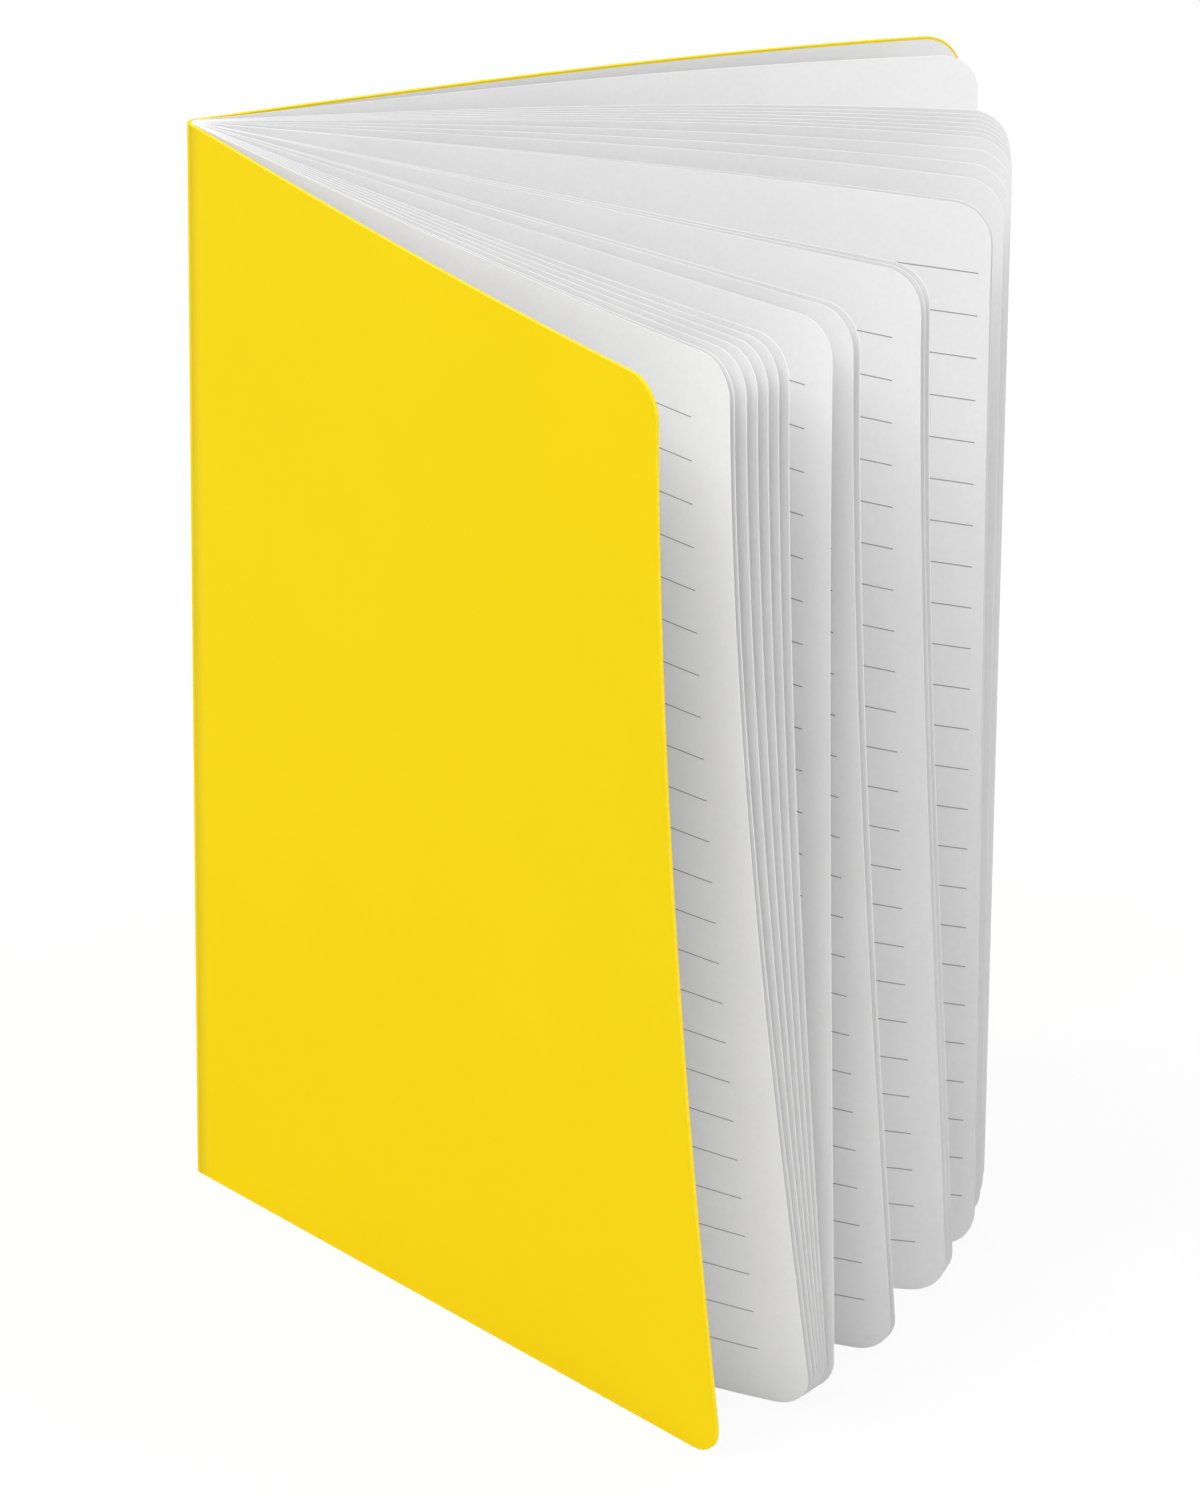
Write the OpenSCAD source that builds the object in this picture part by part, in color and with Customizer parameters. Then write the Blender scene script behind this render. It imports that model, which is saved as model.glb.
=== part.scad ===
// A5 softcover notebook with ruled leaves. It stands on its foot, half open, with its leaves fanned out.
// The spine is upright at the origin, the fore edges point along +X and the front cover faces -Y.

/* [Page] */
// Width of the closed notebook, from its spine to its fore edge
page_w = 148; // [90:1:216]
// Height of the notebook
page_h = 210; // [140:1:303]
// Radius of the rounded corners at the fore edge
corner_r = 7; // [3:0.5:12]
// Thickness of one leaf
leaf_t = 0.1; // [0.08:0.01:0.16]
// Room between two leaves where they leave the fold
leaf_gap = 0.01; // [0.01:0.01:0.05]
// Depth of the gutter, where the leaves still lie against each other
gutter = 0.8; // [0.5:0.1:2]

/* [Cover] */
// Thickness of the cover card
cover_t = 0.7; // [0.6:0.05:1.2]
// Room between the leaves and the cover around the fold
cover_gap = 0.05; // [0.03:0.01:0.2]
// Width of the crease between the spine and each cover
crease_gap = 0.05; // [0.03:0.01:0.1]

/* [Opening] */
// Angle of the front cover at the head, from the +X axis
front_head_angle = -55.5; // [-65:0.1:-45]
// Angle of the front cover at the foot
front_foot_angle = -48.7; // [-60:0.1:-40]
// Angle of the back cover at the head
back_head_angle = 19.4; // [15:0.1:35]
// Angle of the back cover at the foot
back_foot_angle = 19; // [15:0.1:35]
// How far the front cover bends inwards on its way to the fore edge
front_turn_angle = 5; // [0:0.5:10]
// How far the back cover bends inwards on its way to the fore edge
back_turn_angle = 12; // [0:0.5:15]
// How strongly the leaves keep their lean for the foot; 1 is an even twist from head to foot
sag_power = 1.7; // [1:0.1:3]

/* [Staples] */
// Diameter of the staple wire
wire_d = 0.5; // [0.4:0.05:0.6]
// Length of a staple's crown
crown_l = 12; // [8:0.5:16]
// Length of each clinched leg along the gutter
clinch_l = 4.5; // [3:0.5:5]
// Distance of each staple's middle from the nearer end of the spine
staple_inset = 52; // [30:1:65]
// Room around the wire in the cover and the leaves
wire_room = 0.02; // [0.01:0.01:0.05]

/* [Hidden] */
$fn = 48;

paper = "white";
card = "gold";
steel = "silver";

// The fan, from front to back. For each bundle of leaves: how many there are, where the first and the last
// lie between the covers at the head (0 is the front cover, 1 the back cover), the same at the foot, and
// how far such a leaf turns on its way out, at the head and at the foot, in degrees.
bundles = [
    [2, 0.079, 0.084, 0.145, 0.152, 5, 27],
    [5, 0.098, 0.150, 0.158, 0.172, 5, 27],
    [1, 0.208, 0.208, 0.182, 0.182, 2, 26],
    [2, 0.238, 0.248, 0.293, 0.303, 0, 18],
    [3, 0.352, 0.369, 0.445, 0.470, 0, 18],
    [2, 0.536, 0.543, 0.551, 0.558, -8, 0],
    [3, 0.602, 0.680, 0.605, 0.660, -14, -6],
    [7, 0.713, 0.786, 0.715, 0.775, -16, -8],
    [1, 0.945, 0.945, 0.935, 0.935, -12, -8]
];

leaf_steps = 6;
cover_steps = 8;
arc_steps = 6;
leaf_corner_steps = 3;
cover_corner_steps = 6;
hole_facets = 16;
// Heights of the rings between the corners, as shares of the notebook's height
leaf_mid_rings = [0.2, 0.45, 0.7];
cover_mid_rings = [0.1, 0.25, 0.4, 0.6, 0.8];

function mix(a, b, f) = a + (b - a) * f;
function dir(angle) = [cos(angle), sin(angle)];

// One entry a leaf: its angle at the head and at the foot, and its turn at the head and at the foot
leaf_shapes = [
    for (b = bundles, i = [0:b[0] - 1])
        let (f = b[0] > 1 ? i / (b[0] - 1) : 0)
        [
            mix(front_head_angle, back_head_angle, mix(b[1], b[2], f)),
            mix(front_foot_angle, back_foot_angle, mix(b[3], b[4], f)),
            b[5],
            b[6]
        ]
];
front_shape = [front_head_angle, front_foot_angle, front_turn_angle, 0];
back_shape = [back_head_angle, back_foot_angle, -back_turn_angle, -back_turn_angle];

leaves = len(leaf_shapes);
sheets = leaves / 2;
leaf_pitch = leaf_t + leaf_gap;
block_r = sheets * leaf_pitch - leaf_gap / 2;
spine_in_r = block_r + cover_gap;
spine_out_r = spine_in_r + cover_t;
reach = page_w - spine_out_r;
spine_angle = (front_head_angle + back_head_angle) / 2;

// Each ring of a leaf or cover: its height, and how far the rounded corner draws the fore edge in there
function rings_with(corner_steps, mid_rings) = [
    for (i = [0:corner_steps]) let (a = 90 * i / corner_steps) [corner_r * (1 - cos(a)), corner_r * (1 - sin(a))],
    for (f = mid_rings) [page_h * f, 0],
    for (i = [corner_steps:-1:0]) let (a = 90 * i / corner_steps)
        [page_h - corner_r * (1 - cos(a)), corner_r * (1 - sin(a))]
];
leaf_rings = rings_with(leaf_corner_steps, leaf_mid_rings);
cover_rings = rings_with(cover_corner_steps, cover_mid_rings);

// How much of the foot's lean a sheet has at height z
function lean(z) = pow(1 - z / page_h, sag_power);

// The direction of a sheet at height z, a distance s out from the fold
function heading(shape, z, s) =
    let (turn = mix(shape[2], shape[3], lean(z)))
    mix(shape[0], shape[1], lean(z)) + turn * (pow(s / reach, 2) - 1 / 3);

// A sheet's centre line at height z, from the point start at distance s0 out to distance s1: [x, y, heading]
function centre_line(shape, z, start, s0, s1, steps) =
    let (ds = (s1 - s0) / steps)
    [
        for (
            i = 0, p = start;
            i <= steps;
            p = p + ds * dir(heading(shape, z, s0 + (i + 0.5) * ds)), i = i + 1
        )
        [p.x, p.y, heading(shape, z, s0 + i * ds)]
    ];

// One side of a sheet: its centre line moved by a distance to the left of its heading
function side(line, distance) = [for (p = line) [p.x, p.y] + distance * dir(p.z + 90)];

// Closed, all fore edges are flush. A sheet that is opened from there wraps less of the fold's round, at its own
// radius, and stands out that much further.
function unwrapped(radius, angle) = radius * abs(angle - spine_angle) * PI / 180;

// Where leaf k leaves the fold: sheets are nested there, and each half turns off its own circle
function fold_radius(k) = (abs(k - (leaves - 1) / 2)) * leaf_pitch;
function fold_side(k) = k < sheets ? -90 : 90;

function leaf_line(k, ring) =
    let (
        shape = leaf_shapes[k],
        z = ring[0],
        start = heading(shape, z, 0),
        off = fold_radius(k) * dir(start + fold_side(k)),
        root = off + gutter * dir(heading(shape, z, gutter / 2))
    )
    centre_line(shape, z, root, gutter, reach + unwrapped(fold_radius(k), start) - ring[1], leaf_steps);

function leaf_outline(k, ring) =
    let (
        line = leaf_line(k, ring),
        front = side(line, -leaf_t / 2),
        back = side(line, leaf_t / 2)
    )
    concat(front, [for (i = [leaf_steps:-1:0]) back[i]]);

// The rounded back of the folded sheets, from the last leaf round to the first
function fold_outline(ring) =
    let (
        from = heading(leaf_shapes[leaves - 1], ring[0], 0) + 90,
        to = heading(leaf_shapes[0], ring[0], 0) + 270
    )
    [for (i = [0:arc_steps]) block_r * dir(mix(from, to, i / arc_steps))];

function block_outline(ring) = concat([for (k = [0:leaves - 1], p = leaf_outline(k, ring)) p], fold_outline(ring));

// Side walls between rings of n points each. Both sides of a sheet are split along the same diagonals, so
// that it keeps its thickness where it is twisted.
function wall_faces(n, count, steps) = [
    for (j = [0:count - 2], i = [0:n - 1])
        let (a = j * n + i, b = j * n + (i + 1) % n, back = i % (2 * steps + 2) > steps)
        each back ? [[a, a + n, b], [b, a + n, b + n]] : [[a, a + n, b + n], [a, b + n, b]]
];

// The end of a thin strip whose outline starts at index first: out along one side and back along the other
function strip_faces(first, steps) = [
    for (i = [0:steps - 1])
        let (a = first + i, b = first + 2 * steps + 1 - i)
        each [[a, a + 1, b - 1], [a, b - 1, b]]
];

function flipped(faces) = [for (f = faces) [f[2], f[1], f[0]]];
function raised(faces, by) = [for (f = faces) [f[0] + by, f[1] + by, f[2] + by]];

leaf_points = 2 * (leaf_steps + 1);
block_points = leaves * leaf_points + arc_steps + 1;
// The outline of the fold alone: the foot of each leaf, then its rounded back
fold_rim = concat(
    [for (k = [0:leaves - 1]) each [k * leaf_points, (k + 1) * leaf_points - 1]],
    [for (i = [0:arc_steps]) leaves * leaf_points + i]
);

function block_end(middle) = concat(
    [for (k = [0:leaves - 1]) each strip_faces(k * leaf_points, leaf_steps)],
    [for (i = [0:len(fold_rim) - 1]) [fold_rim[i], fold_rim[(i + 1) % len(fold_rim)], middle]]
);

module leaf_fan() {
    count = len(leaf_rings);
    middle_foot = count * block_points;
    top = (count - 1) * block_points;
    polyhedron(
        points = concat(
            [for (ring = leaf_rings, p = block_outline(ring)) [p.x, p.y, ring[0]]],
            [[0, 0, 0], [0, 0, page_h]]
        ),
        faces = concat(
            wall_faces(block_points, count, leaf_steps),
            block_end(middle_foot),
            flipped(raised(block_end(middle_foot + 1 - top), top))
        )
    );
}

// A cover panel that starts at the crease, at the given angle on the spine's round
module panel(shape, crease) {
    middle_r = (spine_in_r + spine_out_r) / 2;
    along = first_heading(shape);
    start = middle_r * dir(crease) + crease_gap * dir(along);
    length = reach + unwrapped(middle_r, along);
    n = 2 * (cover_steps + 1);
    count = len(cover_rings);
    outlines = [
        for (ring = cover_rings)
            let (line = centre_line(shape, ring[0], start, 0, length - ring[1], cover_steps))
            concat(side(line, -cover_t / 2), [for (i = [cover_steps:-1:0]) side(line, cover_t / 2)[i]])
    ];
    polyhedron(
        points = [for (j = [0:count - 1], p = outlines[j]) [p.x, p.y, cover_rings[j][0]]],
        faces = concat(
            wall_faces(n, count, cover_steps),
            strip_faces(0, cover_steps),
            flipped(raised(strip_faces(0, cover_steps), (count - 1) * n))
        )
    );
}

// Each cover turns off the spine's round halfway between its directions at the head and at the foot
function first_heading(shape) = (heading(shape, 0, 0) + heading(shape, page_h, 0)) / 2;
front_crease = first_heading(front_shape) + 270;
back_crease = first_heading(back_shape) + 90;

// The clinched legs lie in the middle opening, as deep as the wire fits between its two leaves
function half_opening(z) = (heading(leaf_shapes[sheets], z, 0) - heading(leaf_shapes[sheets - 1], z, 0)) / 2;
staple_heights = [staple_inset, page_h - staple_inset];
clinch_depth = (wire_d + leaf_t) / sin(half_opening(staple_inset));
crown_depth = spine_out_r - wire_d / 2;
bend_r = wire_d;

// A wire of radius r along a staple's path, with the crown at the back and both legs clinched inwards
module staple_wire(r) {
    leg = crown_depth + clinch_depth - 2 * bend_r;
    for (end = [-1, 1]) scale_z(end) {
        translate([-crown_depth, 0, 0]) cylinder(h = crown_l / 2 - bend_r, r = r);
        translate([-crown_depth + bend_r, 0, crown_l / 2 - bend_r]) elbow(r, 180);
        translate([-crown_depth + bend_r, 0, crown_l / 2]) rotate([0, 90, 0]) cylinder(h = leg, r = r);
        translate([clinch_depth - bend_r, 0, crown_l / 2 - bend_r]) elbow(r, 0);
        translate([clinch_depth, 0, crown_l / 2 - bend_r - clinch_l]) cylinder(h = clinch_l, r = r);
    }
}

module scale_z(end) {
    if (end > 0) children();
    else mirror([0, 0, 1]) children();
}

// A quarter bend of the wire, up from the middle of the bend and towards the given side
module elbow(r, towards) {
    rotate([0, 0, towards]) rotate([90, 0, 0]) rotate_extrude(angle = 90) translate([bend_r, 0]) circle(r = r);
}

module staple_paths(r) {
    rotate([0, 0, spine_angle])
        for (z = staple_heights) translate([0, 0, z]) staple_wire(r);
}

module front_cover() {
    color(card) panel(front_shape, front_crease);
}

module back_cover() {
    color(card) panel(back_shape, back_crease);
}

module spine() {
    far = 4 * spine_out_r;
    color(card) difference() {
        linear_extrude(height = page_h) intersection() {
            difference() {
                circle(r = spine_out_r);
                circle(r = spine_in_r);
            }
            polygon([[0, 0], for (i = [0:2]) far * dir(mix(back_crease, front_crease, i / 2))]);
        }
        staple_paths(wire_d / 2 + wire_room);
    }
}

module pages() {
    color(paper) difference() {
        leaf_fan();
        staple_paths(wire_d / 2 + wire_room, $fn = hole_facets);
    }
}

module staples() {
    color(steel) staple_paths(wire_d / 2);
}

front_cover();
spine();
back_cover();
pages();
staples();
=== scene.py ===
"""A slim A5 notebook with a yellow softcover, standing half open with its ruled leaves fanned out."""

from math import cos, pi, radians, sin
import bpy
from mathutils import Matrix, Vector


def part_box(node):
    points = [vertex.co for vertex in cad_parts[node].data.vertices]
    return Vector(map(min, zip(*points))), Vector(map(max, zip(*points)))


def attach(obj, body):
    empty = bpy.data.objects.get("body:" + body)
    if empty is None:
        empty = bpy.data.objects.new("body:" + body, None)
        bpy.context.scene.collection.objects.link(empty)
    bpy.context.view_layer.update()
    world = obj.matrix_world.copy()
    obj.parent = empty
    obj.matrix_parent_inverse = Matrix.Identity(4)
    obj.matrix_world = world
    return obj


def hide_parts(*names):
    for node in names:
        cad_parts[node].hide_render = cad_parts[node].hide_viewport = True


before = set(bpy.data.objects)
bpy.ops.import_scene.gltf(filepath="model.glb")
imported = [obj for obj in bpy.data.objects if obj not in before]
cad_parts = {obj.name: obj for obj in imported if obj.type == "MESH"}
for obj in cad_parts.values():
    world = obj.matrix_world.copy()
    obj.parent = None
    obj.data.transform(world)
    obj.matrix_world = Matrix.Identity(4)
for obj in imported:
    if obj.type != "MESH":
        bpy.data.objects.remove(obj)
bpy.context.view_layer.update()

# Sizes, in metres. The sheets follow the same rule as the solids, with finer steps.
MM = 0.001
PAGE_W = 148 * MM
PAGE_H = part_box("spine")[1].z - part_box("spine")[0].z
CORNER_R = 7 * MM
LEAF_T = 0.1 * MM
LEAF_GAP = 0.01 * MM
LEAF_PITCH = LEAF_T + LEAF_GAP
COVER_T = 0.7 * MM
COVER_GAP = 0.05 * MM
CREASE_GAP = 0.05 * MM
SAG_POWER = 1.7

# A sheet's direction from the fold, in degrees from the +X axis: at the head, at the foot, and its turn at
# each, which bends the sheet more and more towards its fore edge
FRONT = (-55.5, -48.7, 5, 0)
BACK = (19.4, 19, -12, -12)
SPINE_ANGLE = (FRONT[0] + BACK[0]) / 2

# The fan, from front to back. For each bundle of leaves: how many there are, where the first and the last lie
# between the covers at the head and at the foot, their turn at the head and at the foot, and the blank margin
# beside the fore edge in millimetres.
BUNDLES = [
    (2, 0.079, 0.084, 0.145, 0.152, 5, 27, 9.4),
    (5, 0.098, 0.150, 0.158, 0.172, 5, 27, 8),
    (1, 0.208, 0.208, 0.182, 0.182, 2, 26, 5.8),
    (2, 0.238, 0.248, 0.293, 0.303, 0, 18, 4.8),
    (3, 0.352, 0.369, 0.445, 0.470, 0, 18, 5.5),
    (2, 0.536, 0.543, 0.551, 0.558, -8, 0, 2.2),
    (3, 0.602, 0.680, 0.605, 0.660, -14, -6, 4),
    (7, 0.713, 0.786, 0.715, 0.775, -16, -8, 6),
    (1, 0.945, 0.945, 0.935, 0.935, -12, -8, 9),
]
LEAVES = sum(bundle[0] for bundle in BUNDLES)
BLOCK_R = LEAVES / 2 * LEAF_PITCH - LEAF_GAP / 2
SPINE_IN_R = BLOCK_R + COVER_GAP
SPINE_OUT_R = SPINE_IN_R + COVER_T
MIDDLE_R = (SPINE_IN_R + SPINE_OUT_R) / 2
REACH = PAGE_W - SPINE_OUT_R

# Ruling: how many lines a page has, how far apart they are, the lowest one's height, and their width
RULES = 24
RULE_PITCH = 8.1 * MM
FIRST_RULE = 11 * MM
RULE_W = 0.2 * MM
RULE_BLUR = 0.03 * MM

# Steps of the meshes
LEAF_STEPS = 24
COVER_STEPS = 40
CORNER_STEPS = 8
RING_STEP = 9 * MM
FOLD_STEPS = 8


def mix(a, b, share):
    return a + (b - a) * share


def along(angle):
    return Vector((cos(radians(angle)), sin(radians(angle))))


def lean(z):
    """How much of the foot's lean a sheet has at height z."""
    return max(0.0, 1 - z / PAGE_H) ** SAG_POWER


def heading(shape, z, s):
    """A sheet's direction at height z and distance s from the fold. Taking a third off, which is the mean of
    the square, keeps the turn from changing the mean direction."""
    head, foot, head_turn, foot_turn = shape
    turn = mix(head_turn, foot_turn, lean(z))
    return mix(head, foot, lean(z)) + turn * ((s / REACH) ** 2 - 1 / 3)


def unwrapped(radius, angle):
    """How much less of the fold an open sheet wraps than a closed one."""
    return radius * abs(radians(angle - SPINE_ANGLE))


def rings():
    """Each height of a sheet's mesh, and how far the rounded corner draws the fore edge in there."""
    corner = []
    for i in range(CORNER_STEPS + 1):
        a = pi / 2 * i / CORNER_STEPS
        corner.append((CORNER_R * (1 - cos(a)), CORNER_R * (1 - sin(a))))
    count = round((PAGE_H - 2 * CORNER_R) / RING_STEP)
    middle = [(mix(CORNER_R, PAGE_H - CORNER_R, i / count), 0.0) for i in range(1, count)]
    return corner + middle + [(PAGE_H - z, inset) for z, inset in reversed(corner)]


RINGS = rings()


def centre_line(shape, z, start, s0, s1, steps):
    """The middle of a sheet at height z, from the point start at distance s0 out to s1. Each entry is a
    point, the heading there and its distance."""
    ds = (s1 - s0) / steps
    p = start.copy()
    line = []
    for i in range(steps + 1):
        s = s0 + i * ds
        line.append((p.copy(), heading(shape, z, s), s))
        p += ds * along(heading(shape, z, s + ds / 2))
    return line


# Meshes. A sheet's faces are of three kinds, in the order of its materials.
OUTER, INNER, EDGE = 0, 1, 2


def empty_build():
    return {"points": [], "uv_at": [], "faces": [], "kinds": []}


def add_sheet(build, lines, thickness, kinds):
    """Adds a closed thin sheet to build. Each row of lines is (point, direction to the inside, u) along the
    sheet at one height. kinds are the kinds of its outside, its inside, its head and foot, its first end and
    its last end. A corner's UV is u and its height."""
    rows, columns = len(lines), len(lines[0])
    first = len(build["points"])
    for face in (-1, 1):
        for j, line in enumerate(lines):
            for p, inwards, u in line:
                moved = p + face * thickness / 2 * along(inwards)
                build["points"].append((moved.x, moved.y, RINGS[j][0]))
                build["uv_at"].append((u, RINGS[j][0]))

    def at(face, j, i):
        return first + (face * rows + j) * columns + i

    def add(kind, *corners):
        build["faces"].append([at(*corner) for corner in corners])
        build["kinds"].append(kind)

    top, last = rows - 1, columns - 1
    for j in range(top):
        for i in range(last):
            add(kinds[0], (0, j, i), (0, j + 1, i), (0, j + 1, i + 1), (0, j, i + 1))
            add(kinds[1], (1, j, i), (1, j, i + 1), (1, j + 1, i + 1), (1, j + 1, i))
    for i in range(last):
        add(kinds[2], (0, 0, i), (0, 0, i + 1), (1, 0, i + 1), (1, 0, i))
        add(kinds[2], (0, top, i), (1, top, i), (1, top, i + 1), (0, top, i + 1))
    for j in range(top):
        add(kinds[3], (0, j, 0), (1, j, 0), (1, j + 1, 0), (0, j + 1, 0))
        add(kinds[4], (0, j, last), (0, j + 1, last), (1, j + 1, last), (1, j, last))


def placed(name, data):
    """A new object of data, in the scene."""
    obj = bpy.data.objects.new(name, data)
    bpy.context.scene.collection.objects.link(obj)
    return obj


def finished(name, build, materials):
    """A mesh object of what build holds, sharp where a cut edge meets a broad face."""
    mesh = bpy.data.meshes.new(name)
    mesh.from_pydata(build["points"], [], build["faces"])
    layer = mesh.uv_layers.new(name="sheet")
    for loop in mesh.loops:
        layer.data[loop.index].uv = build["uv_at"][loop.vertex_index]
    kinds = {}
    for polygon, kind in zip(mesh.polygons, build["kinds"]):
        polygon.material_index = kind
        polygon.use_smooth = True
        for key in polygon.edge_keys:
            kinds.setdefault(key, set()).add(kind == EDGE)
    for edge in mesh.edges:
        edge.use_edge_sharp = len(kinds[edge.key]) > 1
    for material in materials:
        mesh.materials.append(material)
    return placed(name, mesh)


class Nodes:
    """Short names for the nodes that the materials share."""

    def __init__(self, tree):
        self.tree = tree

    def add(self, kind, **settings):
        node = self.tree.nodes.new(kind)
        for key, value in settings.items():
            setattr(node, key, value)
        return node

    def put(self, socket, value):
        if isinstance(value, bpy.types.NodeSocket):
            self.tree.links.new(value, socket)
        else:
            socket.default_value = value

    def math(self, operation, *values):
        node = self.add("ShaderNodeMath", operation=operation)
        for socket, value in zip(node.inputs, values):
            self.put(socket, value)
        return node.outputs[0]

    def weighted(self, a, b, share):
        """The mean of a and b, weighted by b's share."""
        return self.math("ADD", self.math("MULTIPLY", a, 1 - share), self.math("MULTIPLY", b, share))

    def radius(self, a, b):
        """The length of the vector (a, b)."""
        return self.math("SQRT", self.math("ADD", self.math("POWER", a, 2.0), self.math("POWER", b, 2.0)))

    def step(self, value, middle, blur):
        """0 below middle and 1 above it, with a smooth edge as wide as blur on either side."""
        node = self.add("ShaderNodeMapRange", interpolation_type="SMOOTHSTEP")
        self.put(node.inputs["Value"], value)
        node.inputs["From Min"].default_value = middle - blur
        node.inputs["From Max"].default_value = middle + blur
        return node.outputs["Result"]

    def mix(self, share, a, b):
        node = self.add("ShaderNodeMix", data_type="RGBA")
        self.put(node.inputs["Factor"], share)
        self.put(node.inputs["A"], a)
        self.put(node.inputs["B"], b)
        return node.outputs["Result"]

    def noise(self, scale, detail=2.0, stretch=(1, 1, 1)):
        place = self.add("ShaderNodeTexCoord").outputs["Object"]
        scaled = self.add("ShaderNodeMapping")
        self.put(scaled.inputs["Vector"], place)
        scaled.inputs["Scale"].default_value = stretch
        node = self.add("ShaderNodeTexNoise")
        self.put(node.inputs["Vector"], scaled.outputs["Vector"])
        node.inputs["Scale"].default_value = scale
        node.inputs["Detail"].default_value = detail
        return node.outputs["Fac"]

    def bump(self, height, strength, distance):
        node = self.add("ShaderNodeBump")
        self.put(node.inputs["Height"], height)
        node.inputs["Strength"].default_value = strength
        node.inputs["Distance"].default_value = distance
        return node.outputs["Normal"]

    def parted(self, vector):
        """The X, Y and Z of a vector."""
        node = self.add("ShaderNodeSeparateXYZ")
        self.put(node.inputs[0], vector)
        return node.outputs["X"], node.outputs["Y"], node.outputs["Z"]

    def sheet_uv(self):
        return self.parted(self.add("ShaderNodeUVMap", uv_map="sheet").outputs["UV"])[:2]


def new_material(name, roughness, specular=0.5):
    material = bpy.data.materials.new(name)
    material.use_nodes = True
    shader = material.node_tree.nodes["Principled BSDF"]
    shader.inputs["Roughness"].default_value = roughness
    shader.inputs["Specular IOR Level"].default_value = specular
    return material, Nodes(material.node_tree), shader


# Colours
WHITE = (1, 1, 1, 1)
PAPER = (0.94, 0.94, 0.94, 1)
PAPER_DULL = (0.915, 0.915, 0.915, 1)
# The leaves' cut edges: the paper's own white, painted a shade lighter than the page faces as a painted
# highlight on the edges
CUT_EDGE_HIGHLIGHT = (0.98, 0.98, 0.98, 1)
CUT_EDGE_HIGHLIGHT_DULL = (0.96, 0.96, 0.96, 1)
RULE_GREY = (0.30, 0.30, 0.31, 1)
YELLOW = (0.925, 0.685, 0.003, 1)
YELLOW_DEEP = (0.905, 0.67, 0.003, 1)
YELLOW_EDGE = (0.97, 0.76, 0.05, 1)
CARD_INSIDE = (0.87, 0.87, 0.87, 1)
WIRE_DARK = (0.55, 0.55, 0.56, 1)
WIRE_LIGHT = (0.75, 0.75, 0.76, 1)

# Paper: a fine fibre and a wide cloud, half of each
PAPER_ROUGHNESS = 0.85
PAPER_SPECULAR = 0.25
FIBRE_SCALE = 900
FIBRE_DETAIL = 3
PAPER_CLOUD_SCALE = 60
PAPER_CLOUD_SHARE = 0.5
PAPER_BLUR = 0.15
PAPER_BUMP = 0.12
PAPER_BUMP_H = 0.02 * MM

# Card: a fine grain and a wide cloud, more of the cloud
CARD_ROUGHNESS = 0.55
CARD_SPECULAR = 0.04
CARD_INSIDE_ROUGHNESS = 0.8
CARD_INSIDE_SPECULAR = 0.25
GRAIN_SCALE = 1400
CARD_CLOUD_SCALE = 25
CARD_CLOUD_SHARE = 0.7
CARD_BLUR = 0.2
CARD_EDGE_BLUR = 0.3
CARD_BUMP = 0.1
CARD_BUMP_H = 0.01 * MM

# How far the yellow comes round the white inside, and in from the spine's skin
RIM_W = 0.4 * MM
RIM_BLUR = 0.05 * MM
SKIN_T = 0.09 * MM
SKIN_BLUR = 0.03 * MM

# A face of the spine whose normal rises or falls more than this is its head or its foot
FACING_UP = 0.5

# Wire, drawn along its height
WIRE_ROUGHNESS = 0.35
DRAWN_SCALE = 2500
DRAWN_STRETCH = (1, 1, 0.05)


def ruling(n):
    """1 on the ruled lines of a page and 0 beside them. u is below 0 on the fold's side of the margin."""
    u, v = n.sheet_uv()
    height = n.math("DIVIDE", n.math("SUBTRACT", v, FIRST_RULE), RULE_PITCH)
    nearest = n.math("ROUND", height)
    away = n.math("MULTIPLY", n.math("ABSOLUTE", n.math("SUBTRACT", height, nearest)), RULE_PITCH)
    on_line = n.math("SUBTRACT", 1.0, n.step(away, RULE_W / 2, RULE_BLUR))
    past_margin = n.math("LESS_THAN", u, 0.0)
    from_first = n.math("GREATER_THAN", nearest, -0.5)
    to_last = n.math("LESS_THAN", nearest, RULES - 0.5)
    counted = n.math("MULTIPLY", from_first, to_last)
    return n.math("MULTIPLY", n.math("MULTIPLY", on_line, past_margin), counted)


def paper_material(name, light, dull, ruled):
    """Paper between a light and a dull tone, with ruled lines where ruled is true."""
    material, n, shader = new_material(name, PAPER_ROUGHNESS, PAPER_SPECULAR)
    fibre = n.noise(FIBRE_SCALE, FIBRE_DETAIL)
    tone = n.weighted(fibre, n.noise(PAPER_CLOUD_SCALE), PAPER_CLOUD_SHARE)
    colour = n.mix(n.step(tone, 0.5, PAPER_BLUR), dull, light)
    if ruled:
        colour = n.mix(ruling(n), colour, RULE_GREY)
    n.put(shader.inputs["Base Color"], colour)
    n.put(shader.inputs["Normal"], n.bump(fibre, PAPER_BUMP, PAPER_BUMP_H))
    return material


def yellow_card(n, grain):
    """The card's own yellow, between two tones."""
    tone = n.weighted(grain, n.noise(CARD_CLOUD_SCALE), CARD_CLOUD_SHARE)
    return n.mix(n.step(tone, 0.5, CARD_BLUR), YELLOW_DEEP, YELLOW)


def card_material(name, roughness, specular, colour_of):
    """Card with a fine grain. colour_of takes the nodes and the grain, and gives the colour."""
    material, n, shader = new_material(name, roughness, specular)
    grain = n.noise(GRAIN_SCALE)
    n.put(shader.inputs["Base Color"], colour_of(n, grain))
    n.put(shader.inputs["Normal"], n.bump(grain, CARD_BUMP, CARD_BUMP_H))
    return material


def cut_card(n, grain):
    """The cut edge of the card, with a paler yellow in its grain."""
    return n.mix(n.step(grain, 0.5, CARD_EDGE_BLUR), YELLOW_EDGE, YELLOW)


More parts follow.
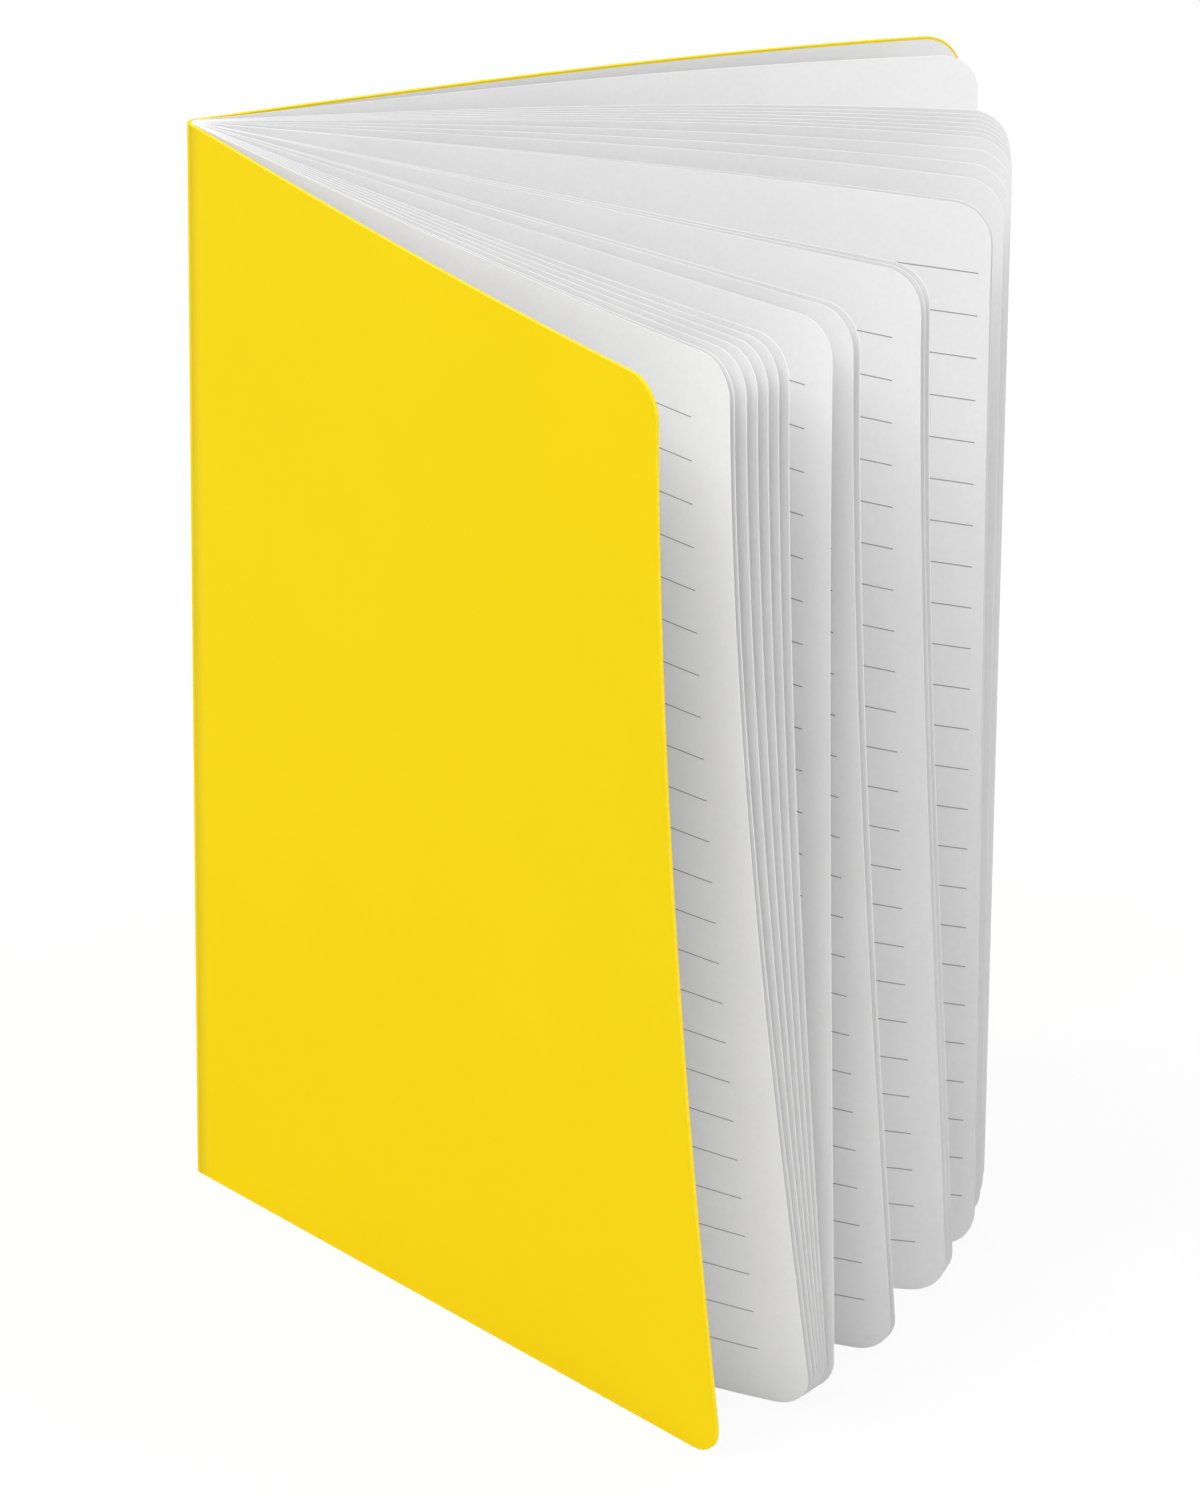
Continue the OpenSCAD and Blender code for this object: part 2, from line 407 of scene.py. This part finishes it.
def rimmed_card(n, grain):
    """The white inside, with the outer colour just round its edge."""
    u, v = n.sheet_uv()
    across = n.math("MAXIMUM", n.math("ADD", u, CORNER_R), 0.0)
    middle = n.math("ABSOLUTE", n.math("SUBTRACT", v, PAGE_H / 2))
    up = n.math("MAXIMUM", n.math("SUBTRACT", middle, PAGE_H / 2 - CORNER_R), 0.0)
    rim = n.step(n.radius(across, up), CORNER_R - RIM_W, RIM_BLUR)
    return n.mix(rim, CARD_INSIDE, yellow_card(n, grain))


def round_card(n, grain):
    """The card round the spine: yellow on its skin, head and foot, and white inside."""
    x, y, z = n.parted(n.add("ShaderNodeTexCoord").outputs["Object"])
    skin = n.step(n.radius(x, y), SPINE_OUT_R - SKIN_T, SKIN_BLUR)
    normal = n.parted(n.add("ShaderNodeNewGeometry").outputs["Normal"])
    cut = n.math("GREATER_THAN", n.math("ABSOLUTE", normal[2]), FACING_UP)
    return n.mix(n.math("MAXIMUM", skin, cut), CARD_INSIDE, yellow_card(n, grain))


def wire_material():
    material, n, shader = new_material("wire", WIRE_ROUGHNESS)
    shader.inputs["Metallic"].default_value = 1.0
    drawn = n.noise(DRAWN_SCALE, stretch=DRAWN_STRETCH)
    n.put(shader.inputs["Base Color"], n.mix(drawn, WIRE_DARK, WIRE_LIGHT))
    return material


RULED = paper_material("ruled_paper", PAPER, PAPER_DULL, True)
# The leaves' cut edges: paper with a painted highlight, lighter than the ruled faces
CUT_WITH_HIGHLIGHT = paper_material("paper_edge_highlight", CUT_EDGE_HIGHLIGHT, CUT_EDGE_HIGHLIGHT_DULL, False)
OUTSIDE = card_material("card_outside", CARD_ROUGHNESS, CARD_SPECULAR, yellow_card)
CARD_CUT = card_material("card_edge", CARD_ROUGHNESS, CARD_SPECULAR, cut_card)
INSIDE = card_material("card_inside", CARD_INSIDE_ROUGHNESS, CARD_INSIDE_SPECULAR, rimmed_card)
ROUND = card_material("card_round", CARD_ROUGHNESS, CARD_SPECULAR, round_card)


# The leaves, on the book block
def leaf_shapes():
    """Each leaf's shape, worked out from its bundle, and its blank margin."""
    shapes = []
    for count, head_0, head_1, foot_0, foot_1, head_turn, foot_turn, margin in BUNDLES:
        for i in range(count):
            share = i / (count - 1) if count > 1 else 0
            head = mix(FRONT[0], BACK[0], mix(head_0, head_1, share))
            foot = mix(FRONT[1], BACK[1], mix(foot_0, foot_1, share))
            shapes.append(((head, foot, head_turn, foot_turn), margin * MM))
    return shapes


def leaf_line(shape, margin, side, radius, ring):
    """One leaf at one height, from where it leaves the fold. side is -1 before the middle opening and 1
    after it. u runs outwards from the start of the blank margin."""
    z, inset = ring
    start = heading(shape, z, 0)
    length = REACH + unwrapped(radius, start)
    root = radius * along(start + side * 90)
    line = centre_line(shape, z, root, 0.0, length - inset, LEAF_STEPS)
    return [(p, angle - side * 90, s - length + margin) for p, angle, s in line]


def sheet_line(k, shapes, ring):
    """A folded sheet at one height: its front leaf, the fold's round, and its rear leaf."""
    radius = ((LEAVES - 1) / 2 - k) * LEAF_PITCH
    front_leaf = leaf_line(*shapes[k], -1, radius, ring)
    rear_leaf = leaf_line(*shapes[LEAVES - 1 - k], 1, radius, ring)
    first = front_leaf[0][1] - 180
    last = rear_leaf[0][1] - 180
    fold = []
    for i in range(1, FOLD_STEPS):
        angle = mix(first, last, i / FOLD_STEPS)
        fold.append((radius * along(angle), angle + 180, -REACH))
    return front_leaf[::-1] + fold + rear_leaf


def make_leaves():
    build = empty_build()
    shapes = leaf_shapes()
    for k in range(LEAVES // 2):
        lines = [sheet_line(k, shapes, ring) for ring in RINGS]
        add_sheet(build, lines, LEAF_T, (OUTER, OUTER, EDGE, EDGE, EDGE))
    return finished("leaves", build, [RULED, RULED, CUT_WITH_HIGHLIGHT])


leaves = make_leaves()
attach(leaves, "book_block")
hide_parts("pages")


# The card: each cover runs from its crease on the spine's round to its fore edge
def first_heading(shape):
    """The mean of a cover's directions at its crease, at the head and at the foot."""
    return (heading(shape, 0, 0) + heading(shape, PAGE_H, 0)) / 2


def cover_lines(shape, side):
    """The middle of one cover: side is -1 for the front and 1 for the back. u runs outwards, up to 0 at the
    fore edge."""
    first = first_heading(shape)
    crease = first + side * 90
    length = REACH + unwrapped(MIDDLE_R, first)
    start = MIDDLE_R * along(crease) + CREASE_GAP * along(first)
    lines = []
    for z, inset in RINGS:
        panel = centre_line(shape, z, start, 0.0, length - inset, COVER_STEPS)
        lines.append([(p, angle - side * 90, s - length) for p, angle, s in panel])
    return lines


def make_cover(name, shape, side, body):
    """One cover. Its end at the crease is white like its inside, so that an opened crease shows no yellow."""
    lines = cover_lines(shape, side)
    ends = (INNER, EDGE)
    if side < 0:
        lines = [line[::-1] for line in lines]
        ends = (EDGE, INNER)
    build = empty_build()
    add_sheet(build, lines, COVER_T, (OUTER, INNER, EDGE) + ends)
    cover = finished(name, build, [OUTSIDE, INSIDE, CARD_CUT])
    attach(cover, body)
    return cover


front = make_cover("front_card", FRONT, -1, "front")
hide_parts("front_cover")
back = make_cover("back_card", BACK, 1, "back")
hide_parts("back_cover")

# The spine and the staples show their own solids
for node, material in (("spine", ROUND), ("staples", wire_material())):
    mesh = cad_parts[node].data
    mesh.materials.clear()
    mesh.materials.append(material)

# Camera: the photograph's view, for a picture of 1200 x 1500 pixels
DISTANCE = 8 * PAGE_H
FOCAL_PX = 9108
PICTURE_H = 1500
PITCH = radians(24.39)
ROLL = radians(0.58)
TARGET = Vector((0.3468 * PAGE_H, 0, 0.4169 * PAGE_H))
SENSOR_W = 36
CLIP_END = 20


def towards(direction):
    """The turn that points a camera or a lamp along direction, with its top up."""
    return direction.to_track_quat("-Z", "Y")


def make_camera():
    data = bpy.data.cameras.new("camera")
    data.sensor_width = SENSOR_W
    data.lens = FOCAL_PX / PICTURE_H * SENSOR_W
    data.clip_end = CLIP_END
    camera = placed("camera", data)
    forward = Vector((0, cos(PITCH), -sin(PITCH)))
    camera.location = TARGET - DISTANCE * forward
    camera.rotation_mode = "QUATERNION"
    camera.rotation_quaternion = towards(forward) @ Matrix.Rotation(ROLL, 3, "Z").to_quaternion()
    bpy.context.scene.camera = camera


make_camera()

# Lamps: place, what it points at, size and power
LAMPS = {
    "above": ((-0.4, -0.32, 1.35), (0.07, 0, 0.15), 0.7, 8),
    "low": ((-0.33, -0.36, 0.03), (0.05, -0.06, 0.03), 0.2, 0.08),
    "right": ((1.2, -0.45, 0.7), (0.1, 0, 0.1), 0.8, 4),
}


def make_lamp(name, place, aim, size, power):
    data = bpy.data.lights.new(name, "AREA")
    data.shape = "SQUARE"
    data.size = size
    data.energy = power
    lamp = placed(name, data)
    lamp.visible_camera = False
    lamp.location = place
    lamp.rotation_mode = "QUATERNION"
    lamp.rotation_quaternion = towards(Vector(aim) - Vector(place))


for name, lamp in LAMPS.items():
    make_lamp(name, *lamp)

# World and floor: both show white, and the floor keeps a light share of the shadow
WORLD_LIGHT = 0.72
FLOOR_SIZE = 12
FLOOR_ROUGHNESS = 0.9
FLOOR_TONE = 0.88
SHADOW_SHARE = 0.12


def seen_directly(n):
    """1 for rays from the camera, and for what shows in gloss or through glass."""
    path = n.add("ShaderNodeLightPath")
    seen = n.math("MAXIMUM", path.outputs["Is Camera Ray"], path.outputs["Is Glossy Ray"])
    return n.math("MAXIMUM", seen, path.outputs["Is Transmission Ray"])


def make_world():
    """A world that shows white, and lights the scene with a strength of WORLD_LIGHT."""
    world = bpy.data.worlds.new("studio")
    bpy.context.scene.world = world
    world.use_nodes = True
    n = Nodes(world.node_tree)
    background = world.node_tree.nodes["Background"]
    background.inputs["Color"].default_value = WHITE
    more_when_seen = n.math("MULTIPLY", seen_directly(n), 1 - WORLD_LIGHT)
    n.put(background.inputs["Strength"], n.math("ADD", more_when_seen, WORLD_LIGHT))


def floor_material():
    """A white floor: where it is seen directly, most of it glows, and SHADOW_SHARE of it takes the shadow."""
    material, n, shader = new_material("floor", FLOOR_ROUGHNESS)
    shader.inputs["Base Color"].default_value = (FLOOR_TONE, FLOOR_TONE, FLOOR_TONE, 1)
    glow = n.add("ShaderNodeEmission")
    glow.inputs["Color"].default_value = WHITE
    glow.inputs["Strength"].default_value = (1 - SHADOW_SHARE * FLOOR_TONE) / (1 - SHADOW_SHARE)
    both = n.add("ShaderNodeMixShader")
    n.put(both.inputs[0], n.math("MULTIPLY", seen_directly(n), 1 - SHADOW_SHARE))
    n.put(both.inputs[1], shader.outputs[0])
    n.put(both.inputs[2], glow.outputs[0])
    n.put(n.tree.nodes["Material Output"].inputs["Surface"], both.outputs[0])
    return material


def make_floor():
    half = FLOOR_SIZE / 2
    corners = [(-half, -half, 0), (half, -half, 0), (half, half, 0), (-half, half, 0)]
    mesh = bpy.data.meshes.new("floor")
    mesh.from_pydata(corners, [], [(0, 1, 2, 3)])
    mesh.materials.append(floor_material())
    return placed("floor", mesh)


make_world()
floor = make_floor()

bpy.context.scene.view_settings.view_transform = "Standard"
